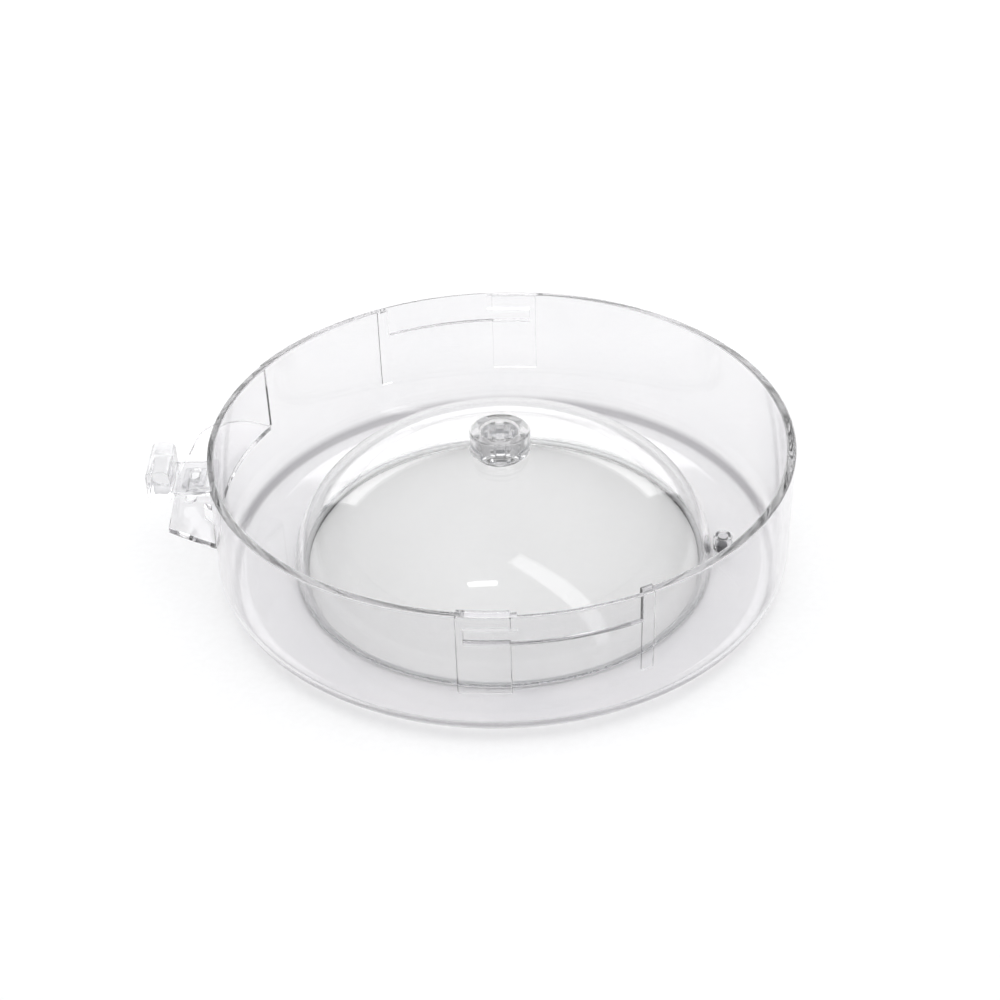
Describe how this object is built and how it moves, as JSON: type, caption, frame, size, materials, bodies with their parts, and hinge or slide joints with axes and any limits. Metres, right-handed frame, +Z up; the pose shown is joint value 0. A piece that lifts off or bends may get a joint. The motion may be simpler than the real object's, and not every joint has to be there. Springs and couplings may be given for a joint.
{
  "type": "humidity dome tray",
  "caption": "Round clear tray with a raised central dome, a rotary vent on the crown, bayonet pockets in the rim, a drain stud and a slide latch on a side ear.",
  "frame": {"origin": "centre of the round base, on the surface the tray stands on", "axes": "+Z up along the dome and wall axis; -X towards the ear with the latch; -Y towards one of the two bayonet pockets"},
  "size_m": [0.2015, 0.18, 0.0468],
  "materials": {
    "clear_tray": "clear moulded polystyrene, polished, faintly cool",
    "clear_dome": "clear moulded polystyrene, polished, faint handling marks",
    "clear_vent": "clear moulded plastic with satin edges",
    "clear_latch": "clear moulded plastic, polished",
    "natural_clip": "translucent natural nylon, satin",
    "clear_seal": "translucent silicone, matte",
    "grey_plug": "soft grey rubber, matte"
  },
  "bodies": {
    "tray": {"tray_shell": "clear_tray", "foot_seal": "clear_seal"},
    "dome": {"centre_dome": "clear_dome"},
    "vent": {"vent_knob": "clear_vent", "vent_shutter": "clear_vent", "vent_clip": "natural_clip"},
    "latch": {"latch_slide": "clear_latch", "latch_clip": "clear_latch"},
    "plug": {"drain_plug": "grey_plug"}
  },
  "joints": [
    {"name": "dome_lift", "type": "slide", "parent": "tray", "child": "dome", "axis": [0, 0, 1], "range_m": [0, 0.06]},
    {"name": "vent_turn", "type": "hinge", "parent": "dome", "child": "vent", "pos_m": [0, 0, 0.042], "axis": [0, 0, 1], "range_deg": [0, 45]},
    {"name": "latch_travel", "type": "slide", "parent": "tray", "child": "latch", "axis": [0, -1, 0], "range_m": [0, 0.01]},
    {"name": "drain_pull", "type": "slide", "parent": "tray", "child": "plug", "axis": [0, 0, -1], "range_m": [0, 0.008]}
  ]
}
